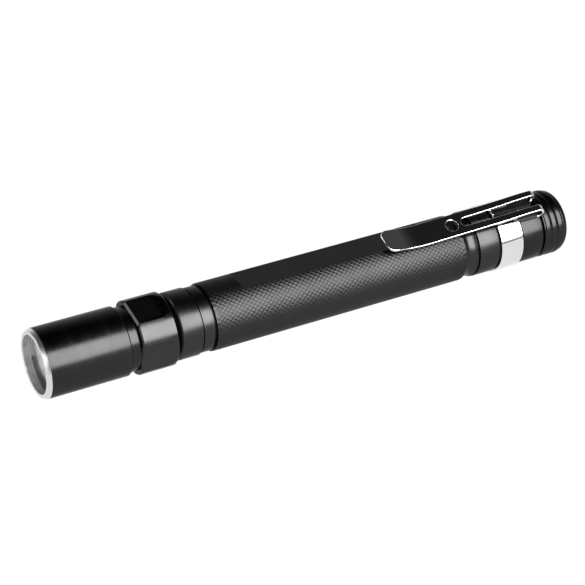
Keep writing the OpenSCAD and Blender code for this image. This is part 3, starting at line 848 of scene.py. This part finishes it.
def make_tube():
    """Tube with its rings, knurl, smooth flat, hollow groove, clip seat and tail thread."""
    shell = TubeShell(2 * knurl_round)
    valley_r = grip_r - knurl_depth
    front = eased([
        (tube_front, tube_bore_r),
        (tube_front, spigot_r, 0.2),
        (front_ring_start, spigot_r),
        (front_ring_start, front_ring_r - front_ring_bevel, 0.05),
        (front_ring_start + front_ring_bevel, front_ring_r, 0.08),
        (front_ring_end, front_ring_r, 0.05),
        (front_ring_end, ring_line_r),
        (front_ring_end + ring_line_w, ring_line_r),
        (front_ring_end + ring_line_w, recess_r, 0.05),
        (grip_start - grip_line_w, recess_r, 0.05),
        (grip_start - grip_line_w, grip_line_r),
        (grip_start, grip_line_r),
        (grip_start, valley_r),
    ])
    middle = [(grip_end, valley_r)]
    middle += hollow_rows(grip_end, rear_ring_start - rear_line_w, rear_groove_edge_r, rear_groove_sink)
    middle += eased([
        (rear_ring_start - rear_line_w, rear_groove_edge_r),
        (rear_ring_start - rear_line_w, rear_line_r),
        (rear_ring_start, rear_line_r),
        (rear_ring_start, rear_ring_r, 0.07),
        (rear_ring_end, rear_ring_r, 0.1),
        (rear_ring_end, clip_seat_r),
        (band_end, clip_seat_r, 0.1),
        (band_end, tail_thread_r),
        (seal_groove_start, tail_thread_r, 0.04),
        (seal_groove_start, seal_groove_r),
        (seal_groove_end, seal_groove_r),
        (seal_groove_end, tail_thread_r, 0.04),
        (thread_start, tail_thread_r),
    ])[1:]
    rings = [shell.row(x, r) for x, r in front]
    knurl_front, knurl_rear = shell.knurl(grip_start, grip_end, grip_r, valley_r, knurl_along)
    shell.join(rings + [knurl_front])
    rings = [knurl_rear] + [shell.row(x, r) for x, r in middle]
    for x in thread_rows()[1:]:
        rings.append(shell.row(x, lambda angle: thread_radius(x, angle)))
    rings.append(shell.row(tube_rear, tube_bore_r))
    rings.append(shell.row(tube_front, tube_bore_r))
    shell.join(rings)
    mesh = mill_flat(mesh_from("tube_shell", shell.points, shell.faces))
    tube = new_piece("tube_shell", mesh, finishes["tube_black"], finishes["knurl_black"], sharp=22)
    for face in mesh.polygons:
        station = (face.center.x - front_x) / MM
        height = (face.center.z - axis_z) / MM
        milled = face.normal.z > flat_facing and abs(height - flat_h) < flat_slack
        face.material_index = int(grip_start < station < grip_end and not milled)
        face.use_smooth = not milled
    dress(tube, "light", "body_tube")


make_tube()


# Tail cap and button


def make_cap():
    """Cap with a smooth skirt, a narrow groove, finger ridges and a rounded end."""
    ridges = []
    ridge_steps = 10
    for i in range(ridge_count):
        start = ridges_start + i * ridge_pitch
        for k in range(ridge_steps):
            t = 2 * k / ridge_steps - 1
            rise = (cap_r - ridge_valley_r) * (1 - t ** 4)
            ridges.append((start + ridge_pitch * k / ridge_steps, ridge_valley_r + rise))
    end_round = cap_end - ridges_start - ridge_count * ridge_pitch
    end = arc_points(cap_end - end_round, ridge_valley_r - end_round, end_round, 90, 0, 12)
    front = eased([
        (cap_start, cap_bore_r),
        (cap_start, cap_r - skirt_bevel, 0.06),
        (cap_start + skirt_bevel, cap_r, 0.08),
        (skirt_end, cap_r, 0.06),
        (skirt_end, cap_groove_r),
        (cap_groove_end, cap_groove_r),
        (cap_groove_end, ridge_valley_r, 0.05),
        (ridges_start, ridge_valley_r),
    ])[:-1]
    inside = eased([
        (cap_end, ridge_valley_r - end_round),
        (cap_end, button_bore_r, 0.15),
        (chamber_end, button_bore_r),
        (chamber_end, chamber_r),
        (chamber_start, chamber_r),
        (chamber_start, cap_bore_r),
    ])[1:]
    profile = front + ridges + end + inside
    turned_piece("tail_cap_shell", profile, "cap", "black_anodized", "tail_cap")


def make_button():
    """Rubber button with a flange, a soft edge and a shallow dish for the thumb."""
    shares = [k / dish_steps for k in range(dish_steps, -1, -1)]
    dish = [(button_top - dish_depth * (1 - share ** 2), dish_r * share) for share in shares]
    profile = eased([
        (button_start, 0),
        (button_start, flange_r, 0.1),
        (flange_end, flange_r, 0.1),
        (flange_end, button_r),
        (button_top, button_r, button_edge),
        (button_top, dish_r, 0.2),
    ]) + dish[1:]
    turned_piece("thumb_button", profile, "button", "black_rubber", "tail_button")


def make_return_spring():
    """Coil that lifts the button."""
    sides = 12
    turn_steps = 40
    steps = turn_steps * return_turns
    first = return_start + return_wire_r
    rise = return_end - return_wire_r - first
    points = []
    for i in range(steps + 1):
        for k in range(sides):
            side = 2 * math.pi * k / sides
            station = first + rise * i / steps + return_wire_r * math.sin(side)
            radius = return_coil_r + return_wire_r * math.cos(side)
            points.append(at(station, radius, 360 * i / turn_steps))
    faces = [tuple(range(sides)), tuple(steps * sides + k for k in range(sides))]
    for i in range(steps):
        faces += wall(i * sides, (i + 1) * sides, sides)
    mesh = mesh_from("return_spring", points, faces)
    spring = new_piece("return_spring", mesh, finishes["spring_steel"], sharp=50)
    dress(spring, "cap", "switch_spring")
    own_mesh(spring)


make_cap()
make_button()
make_return_spring()


# Clip


def smooth_step(t):
    """Eases from 0 to 1."""
    t = min(1, max(0, t))
    return t * t * (3 - 2 * t)


def curve_through(points, steps):
    """Smooth line through points, with a number of steps from each point to the next."""
    ends = [points[0] * 2 - points[1]] + points + [points[-1] * 2 - points[-2]]
    line = []
    for a, b, c, d in zip(ends, ends[1:], ends[2:], ends[3:]):
        for k in range(steps):
            t = k / steps
            bow = (a * 2 - b * 5 + c * 4 - d) * t ** 2 + (b * 3 - a - c * 3 + d) * t ** 3
            line.append(b + ((c - a) * t + bow) / 2)
    return line + [points[-1]]


class ClipSheet:
    """Flat plan of the clip and the bent line that it follows, from the tip round to the band."""

    def __init__(self):
        line = curve_through([Vector(point) for point in arm_line], 4)
        first = len(line) - 1
        bend = arc_points(bend_station, neck_h + bend_r, bend_r, 90, -90, 14)
        line += [Vector(point) for point in bend[1:]]
        last = len(line) - 1
        neck_steps = 24
        neck_l = bend_station - neck_end
        line += [Vector((bend_station - neck_l * k / neck_steps, neck_h)) for k in range(1, neck_steps + 1)]
        self.line = line
        self.run = [0.0]
        for a, b in zip(line, line[1:]):
            self.run.append(self.run[-1] + (b - a).length)
        self.bend_start = self.run[first]
        self.bend_end = self.run[last]
        self.hole = self.run_at(clip_hole)
        self.slot_front = self.run_at(slot_start) + slot_front_r
        self.slot_rear = self.bend_end + slot_overrun - slot_rear_r

    def run_at(self, station):
        """Distance along the arm to a station in front of the return bend."""
        for k, (a, b) in enumerate(zip(self.line, self.line[1:])):
            if a.x <= station <= b.x:
                return self.run[k] + (station - a.x) / (b.x - a.x) * (self.run[k + 1] - self.run[k])

    def half_width(self, run):
        """Half the sheet's width: the arm is parallel, and the neck on the band is narrower."""
        narrow = smooth_step((run - self.bend_end - bend_station + band_end + neck_taper_lead) / neck_taper)
        return (clip_w * (1 - narrow) + neck_w * narrow) / 2

    def half_slot(self, run):
        """Half the slot's width, which widens towards the bend."""
        share = (run - self.slot_front) / (self.slot_rear - self.slot_front)
        return slot_front_r + (slot_rear_r - slot_front_r) * share

    def place(self, run, side, lift):
        """Point of the bent sheet at a distance along it, to the side of its middle, and off its middle."""
        k = next((i for i in range(1, len(self.run)) if run <= self.run[i]), len(self.run) - 1)
        share = (run - self.run[k - 1]) / (self.run[k] - self.run[k - 1])
        ahead = [self.line[min(i + 1, len(self.line) - 1)] - self.line[max(i - 1, 0)] for i in (k - 1, k)]
        heading = ahead[0].normalized() * (1 - share) + ahead[1].normalized() * share
        heading.normalize()
        spot = self.line[k - 1] * (1 - share) + self.line[k] * share
        spot += Vector((-heading.y, heading.x)) * lift
        wrap = smooth_step((run - self.bend_start) / (self.bend_end - self.bend_start))
        turn = side / band_outer_r
        across = side * (1 - wrap) + spot.y * math.sin(turn) * wrap
        height = spot.y * (1 - wrap) + spot.y * math.cos(turn) * wrap
        return clip_point(spot.x, across, height)

    def inside(self, run, side, margin=0.0):
        """Whether a place in the flat plan is on the sheet and clear of its edges by a margin."""
        if not margin <= run <= self.run[-1] - margin or abs(side) > self.half_width(run) - margin:
            return False
        for past, half, corner in (
            (clip_tip_corner - run, clip_w / 2, clip_tip_corner),
            (run - self.run[-1] + neck_corner, neck_w / 2, neck_corner),
        ):
            off = Vector((past, abs(side) - half + corner))
            if off.x > 0 and off.y > 0 and off.length > corner - margin:
                return False
        if math.hypot(run - self.hole, side) < clip_hole_r + margin:
            return False
        if run < self.slot_front:
            return math.hypot(run - self.slot_front, side) > slot_front_r + margin
        if run > self.slot_rear:
            return math.hypot(run - self.slot_rear, side) > slot_rear_r + margin
        return abs(side) > self.half_slot(run) + margin

    def loops(self):
        """Outline, slot and hole of the flat plan."""
        inset = clip_w / 2 - clip_tip_corner
        end = self.run[-1] - neck_corner
        neck = neck_w / 2 - neck_corner
        clear = 0.1
        along = [run for run in self.run if clip_tip_corner + clear < run < end - clear]
        slot = [run for run in self.run if self.slot_front + clear < run < self.slot_rear - clear]
        outline = arc_points(clip_tip_corner, inset, clip_tip_corner, 180, 90, 8)
        outline += [(run, self.half_width(run)) for run in along]
        outline += arc_points(end, neck, neck_corner, 90, 0, 6)
        outline += arc_points(end, -neck, neck_corner, 0, -90, 6)
        outline += [(run, -self.half_width(run)) for run in reversed(along)]
        outline += arc_points(clip_tip_corner, -inset, clip_tip_corner, 270, 180, 8)
        opening = arc_points(self.slot_front, 0, slot_front_r, 90, 270, 10)
        opening += [(run, -self.half_slot(run)) for run in slot]
        opening += arc_points(self.slot_rear, 0, slot_rear_r, -90, 90, 12)
        opening += [(run, self.half_slot(run)) for run in reversed(slot)]
        hole = arc_points(self.hole, 0, clip_hole_r, 0, 360, 28)[:-1]
        return [outline, opening, hole]


def clip_point(station, across, height):
    """Point in the frame from the clip's own station, side offset and height."""
    turn = math.radians(clip_roll)
    y = across * math.cos(turn) - height * math.sin(turn)
    z = across * math.sin(turn) + height * math.cos(turn)
    return Vector((front_x + station * MM, y * MM, axis_z + z * MM))


def inset_loop(loop, depth, sheet):
    """Moves a loop of the flat plan into the sheet by a depth."""
    probe = 0.05
    moved = []
    count = len(loop)
    for k, point in enumerate(loop):
        here = Vector(point)
        along = Vector(loop[(k + 1) % count]) - Vector(loop[k - 1])
        aside = Vector((-along.y, along.x)).normalized()
        if not sheet.inside(*(here + aside * probe)):
            aside = -aside
        moved.append(here + aside * depth)
    return moved


def clip_face(sheet, loops):
    """Flat plan inside the eased edges as points and triangles. The loops' points come first."""
    points = [point for loop in loops for point in loop]
    edges = []
    for loop in loops:
        first = len(edges)
        edges += [(first + k, first + (k + 1) % len(loop)) for k in range(len(loop))]
    sides = [0.4, 1.0, 1.7, 2.1, 2.5]
    point_slack = 1e-6
    edge_slack = 0.003
    for run in sheet.run:
        for side in [0.0] + sides + [-side for side in sides]:
            if sheet.inside(run, side, margin=2 * clip_edge):
                points.append(Vector((run, side)))
    found = delaunay_2d_cdt(points, edges, [], 0, point_slack)
    places = found[0]
    kept = []
    for face in found[2]:
        middle = sum((places[k] for k in face), Vector((0, 0))) / len(face)
        if sheet.inside(middle.x, middle.y, margin=clip_edge_land + edge_slack):
            kept.append(tuple(face))
    return places, kept


def make_clip_spring():
    """Sprung arm, return bend and neck on the band: one sheet with rolled edges."""
    sheet = ClipSheet()
    loops = sheet.loops()
    rolled = [(clip_edge_land, clip_t / 2)]
    rolled += arc_points(clip_edge, clip_t / 2 - clip_edge, clip_edge, 90, 180, 4)
    rolled += [(inset, -lift) for inset, lift in reversed(rolled)]
    points = []
    faces = []
    painted_shade_faces = []
    neck_stop = sheet.run[-1] - neck_corner
    for loop in loops:
        first = len(points)
        count = len(loop)
        for inset, lift in rolled:
            points += [sheet.place(p.x, p.y, lift) for p in inset_loop(loop, inset, sheet)]
        # The neck's edge walls take the near-black second finish, which paints in the shade under the arm.
        neck = [i for i, point in enumerate(loop) if sheet.bend_end < point[0] < neck_stop]
        for row in range(len(rolled) - 1):
            near = first + row * count
            painted_shade_faces += [len(faces) + i for i in neck]
            faces += wall(near, near + count, count)
    flat_loops = [inset_loop(loop, rolled[0][0], sheet) for loop in loops]
    places, triangles = clip_face(sheet, flat_loops)
    for lift in (clip_t / 2, -clip_t / 2):
        first = len(points)
        points += [sheet.place(p.x, p.y, lift) for p in places]
        faces += [tuple(first + k for k in face) for face in triangles]
    # The underside takes the same near-black finish. This is painted shade, not the steel's own colour.
    painted_shade_faces += range(len(faces) - len(triangles), len(faces))
    mesh = mesh_from("clip_sheet", points, faces, second_finish=painted_shade_faces)
    clip = new_piece("clip_sheet", mesh, finishes["chrome_clip"], finishes["clip_inner_face"], sharp=40)
    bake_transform(clip)
    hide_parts("clip_arm")


def make_clip_band():
    """Chrome band round the tube, with eased edges."""
    ease = 0.14
    profile = eased([
        (band_start, band_inner_r, 0.05),
        (band_start, band_outer_r, ease),
        (band_end, band_outer_r, ease),
        (band_end, band_inner_r, 0.05),
    ])
    turned_piece("clip_ring_band", profile, "clip_ring", "chrome_clip", "clip_band")


make_clip_spring()
make_clip_band()


# Floor, lights and camera: the studio is in metres, the camera's lens and sensor are in millimetres

floor_glow = 1.02
dark_glow = 0.015
backdrop_lean = 0.5
backdrop_shift = -0.2
backdrop_span = (-0.6, 0.66)
backdrop_power = 2.0
camera_place = (front_x - 117.31 * MM, -324.5 * MM, axis_z + 221.6 * MM)
camera_turn = 28.693
camera_drop = 30.933
camera_lens = 122.15
camera_sensor = 36.0


def make_floor():
    """White ground that glows evenly. A view from below sees through it."""
    half = 3.0
    corners = [(-half, -half, 0), (half, -half, 0), (half, half, 0), (-half, half, 0)]
    mesh = bpy.data.meshes.new("studio_floor")
    mesh.from_pydata(corners, [], [(0, 1, 2, 3)])
    material = bpy.data.materials.new("studio_white")
    material.use_nodes = True
    tree = material.node_tree
    tree.nodes.clear()
    glow = add_node(tree, "ShaderNodeEmission", {"Color": (1, 1, 1, 1), "Strength": floor_glow})
    clear = add_node(tree, "ShaderNodeBsdfTransparent")
    under = add_node(tree, "ShaderNodeNewGeometry").outputs["Backfacing"]
    mix = add_node(tree, "ShaderNodeMixShader", {0: under, 1: glow.outputs[0], 2: clear.outputs[0]})
    add_node(tree, "ShaderNodeOutputMaterial", {"Surface": mix.outputs[0]})
    mesh.materials.append(material)
    floor = bpy.data.objects.new("studio_floor", mesh)
    bpy.context.scene.collection.objects.link(floor)


def make_softbox(name, centre, aim, width, height, glow):
    """Rectangular light at a point in metres, facing back along its aim."""
    lamp = bpy.data.lights.new(name, "AREA")
    lamp.shape = "RECTANGLE"
    lamp.size = width
    lamp.size_y = height
    lamp.energy = glow * math.pi * width * height
    box = bpy.data.objects.new(name, lamp)
    box.location = centre
    box.rotation_euler = Vector(aim).to_track_quat("Z", "Y").to_euler()
    box.visible_camera = False
    bpy.context.scene.collection.objects.link(box)


def make_front_softbox(name, top, bottom, glow):
    """Long box beside the photographed side, between two angles from straight up."""
    distance = 1.2
    middle_x = 0.55
    width = 1.3
    reach = distance * math.tan(math.radians((bottom - top) / 2))
    middle = math.radians((top + bottom) / 2)
    aim = Vector((0, -math.sin(middle), math.cos(middle)))
    centre = Vector((middle_x, 0, axis_z)) + aim * distance
    make_softbox(name, centre, aim, width, 2 * reach, glow)


def make_world():
    """White backdrop for the camera. Reflections see it fade from low behind the light to a dark studio."""
    world = bpy.data.worlds.new("studio_dark")
    world.use_nodes = True
    tree = world.node_tree
    tree.nodes.clear()
    seen = add_node(tree, "ShaderNodeLightPath").outputs["Is Camera Ray"]
    way = add_node(tree, "ShaderNodeTexCoord").outputs["Generated"]
    part = add_node(tree, "ShaderNodeSeparateXYZ", {0: way}).outputs
    low_behind = maths(tree, "SUBTRACT", part["Y"], part["Z"])
    tailward = maths(tree, "MULTIPLY_ADD", part["X"], backdrop_lean, backdrop_shift)
    share = spread(tree, maths(tree, "ADD", low_behind, tailward), *backdrop_span)
    lit = maths(tree, "ADD", maths(tree, "POWER", share, backdrop_power), dark_glow)
    dark = add_node(tree, "ShaderNodeBackground", {"Color": (1, 1, 1, 1), "Strength": lit})
    white = add_node(tree, "ShaderNodeBackground", {"Color": (1, 1, 1, 1), "Strength": floor_glow})
    mix = add_node(tree, "ShaderNodeMixShader", {0: seen, 1: dark.outputs[0], 2: white.outputs[0]})
    add_node(tree, "ShaderNodeOutputWorld", {"Surface": mix.outputs[0]})
    bpy.context.scene.world = world


def make_camera():
    """Camera at the photograph's viewpoint."""
    lens = bpy.data.cameras.new("photo_camera")
    lens.lens = camera_lens
    lens.sensor_width = camera_sensor
    lens.clip_start = 0.01
    camera = bpy.data.objects.new("photo_camera", lens)
    camera.location = camera_place
    camera.rotation_euler = (math.radians(90 - camera_drop), 0, math.radians(-camera_turn))
    bpy.context.scene.collection.objects.link(camera)
    bpy.context.scene.camera = camera


make_floor()
make_world()
make_front_softbox("front_softbox", 33.0, 80.0, 12.0)
make_front_softbox("front_bounce", 80.0, 86.5, 1.3)
make_softbox("lens_side_softbox", (-0.74, -0.4, 0.37), (-0.74, -0.4, 0.36), 0.72, 0.7, 1.9)
make_softbox("back_softbox", (-0.77, 0.47, 0.48), (-0.77, 0.47, 0.48), 0.4, 0.4, 4.0)
make_camera()
bpy.context.scene.view_settings.view_transform = "Standard"
